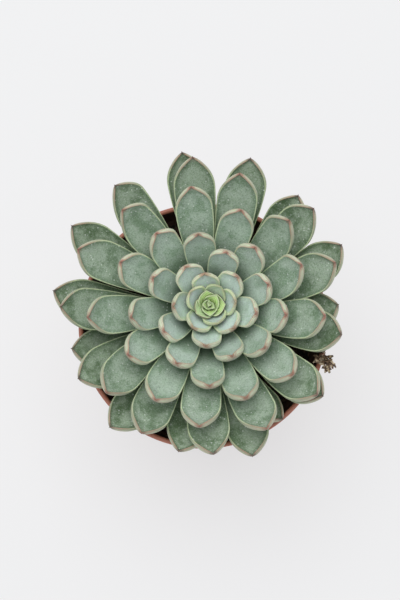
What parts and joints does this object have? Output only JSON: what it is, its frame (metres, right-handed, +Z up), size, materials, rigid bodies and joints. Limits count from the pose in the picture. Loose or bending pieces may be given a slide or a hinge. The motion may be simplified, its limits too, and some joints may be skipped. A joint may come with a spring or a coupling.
{
  "type": "potted rosette succulent",
  "caption": "Rosette succulent with fleshy grey-green, pink-edged leaves in a clockwise spiral, growing on a short stem in a round thin-walled plastic pot of soil",
  "frame": {"origin": "centre of the pot's underside, on the plane that it stands on", "axes": "+Z up; +X to the plant's right and -Y to its front, the side that the rosette leans to"},
  "size_m": [0.1162, 0.1218, 0.1265],
  "materials": {
    "terracotta_plastic": "satin",
    "potting_soil": "matte",
    "stem_bark": "matte",
    "leaf": "matte",
    "heart_leaf": "satin",
    "dry_leaf": "matte"
  },
  "bodies": {
    "root": {"pot": "terracotta_plastic", "soil": "potting_soil", "stem": "stem_bark", "bud": "heart_leaf", "leaf_17": "leaf", "leaf_18": "leaf", "leaf_19": "leaf", "leaf_20": "leaf", "leaf_21": "leaf", "leaf_22": "leaf", "leaf_23": "leaf", "leaf_24": "leaf", "leaf_25": "leaf", "leaf_26": "leaf", "leaf_27": "leaf", "leaf_28": "leaf", "leaf_29": "leaf", "leaf_30": "leaf", "leaf_31": "leaf", "leaf_32": "leaf", "leaf_33": "leaf", "leaf_34": "leaf", "leaf_35": "leaf", "leaf_36": "leaf", "leaf_37": "leaf", "leaf_38": "leaf", "leaf_39": "leaf", "leaf_40": "leaf", "leaf_41": "leaf", "leaf_42": "leaf", "leaf_43": "leaf", "leaf_44": "leaf", "leaf_45": "leaf", "leaf_46": "leaf", "leaf_47": "leaf", "leaf_48": "leaf", "leaf_49": "leaf", "leaf_50": "leaf", "leaf_51": "leaf", "leaf_52": "leaf", "leaf_53": "leaf", "leaf_54": "leaf", "leaf_55": "leaf", "leaf_56": "leaf", "leaf_57": "leaf", "leaf_58": "leaf", "leaf_59": "leaf", "leaf_60": "leaf", "leaf_61": "leaf", "leaf_62": "leaf", "leaf_63": "leaf", "leaf_64": "leaf", "leaf_65": "leaf", "leaf_66": "leaf", "leaf_68": "leaf", "leaf_69": "leaf", "leaf_71": "leaf", "dried_remnant": "dry_leaf"}
  },
  "joints": []
}
